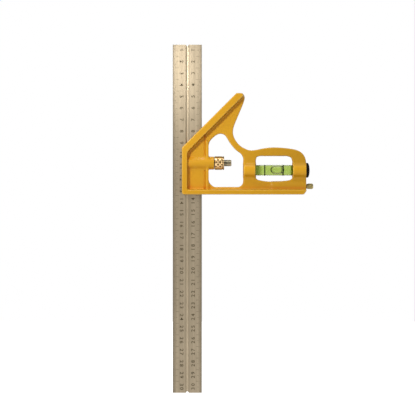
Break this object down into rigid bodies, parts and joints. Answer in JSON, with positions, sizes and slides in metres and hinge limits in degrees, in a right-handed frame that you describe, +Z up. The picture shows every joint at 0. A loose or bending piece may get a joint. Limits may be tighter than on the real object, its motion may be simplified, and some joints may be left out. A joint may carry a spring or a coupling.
{
  "type": "combination square",
  "caption": "Combination square: cast head with a 90-degree and a 45-degree face, a grooved sliding steel rule clamped by a draw bolt and knurled nut, a spirit vial and a stowed scriber.",
  "frame": {"origin": "middle of the head's 90-degree face, at mid-thickness", "axes": "+Z up along the rule, +X along the 90-degree face away from the rule, front of the tool towards -Y"},
  "size_m": [0.1209, 0.017, 0.3],
  "materials": {
    "head_paint": "yellow powder coat on die-cast metal, semi-gloss with a fine orange-peel texture",
    "rule_steel": "satin steel, brushed along its length, with dark etched graduations",
    "bolt_steel": "zinc-plated machined thread",
    "nut_brass": "turned brass with a coarse diamond knurl",
    "spring_steel": "drawn spring wire",
    "needle_steel": "ground hardened steel",
    "scriber_brass": "dull turned brass",
    "bush_nylon": "natural nylon",
    "vial_acrylic": "clear acrylic, slightly green",
    "vial_spirit": "lime green translucent spirit",
    "vial_air": "air bubble in the spirit",
    "vial_ink": "black reference ring",
    "cap_black": "black moulded rubber"
  },
  "bodies": {
    "head": {"head_casting": "head_paint", "lock_spring": "spring_steel", "scriber_bush": "bush_nylon", "vial_tube": "vial_acrylic", "vial_plug": "vial_acrylic", "vial_liquid": "vial_spirit", "vial_line_left": "vial_ink", "vial_line_right": "vial_ink", "vial_end_cap": "cap_black"},
    "rule": {"rule": "rule_steel"},
    "nut": {"lock_nut": "nut_brass"},
    "bolt": {"lock_bolt": "bolt_steel"},
    "scriber": {"scriber_needle": "needle_steel", "scriber_knob": "scriber_brass"},
    "bubble": {"vial_bubble": "vial_air"}
  },
  "joints": [
    {"name": "rule_slide", "type": "slide", "parent": "head", "child": "rule", "axis": [0, 0, 1], "range_m": [-0.098, 0.192]},
    {"name": "nut_turn", "type": "hinge", "parent": "head", "child": "nut", "pos_m": [-0.0214, 0, 0.0271], "axis": [1, 0, 0], "range_deg": [0, 360]},
    {"name": "bolt_draw", "type": "slide", "parent": "head", "child": "bolt", "axis": [1, 0, 0], "range_m": [-0.001, 0]},
    {"name": "scriber_slide", "type": "slide", "parent": "head", "child": "scriber", "axis": [1, 0, 0], "range_m": [0, 0.036]},
    {"name": "bubble_slide", "type": "slide", "parent": "head", "child": "bubble", "axis": [1, 0, 0], "range_m": [-0.008, 0.005]}
  ],
  "couplings": [
    {"joint": "nut_turn", "follows": "bolt_draw", "rad_per_m": -6283.2}
  ]
}
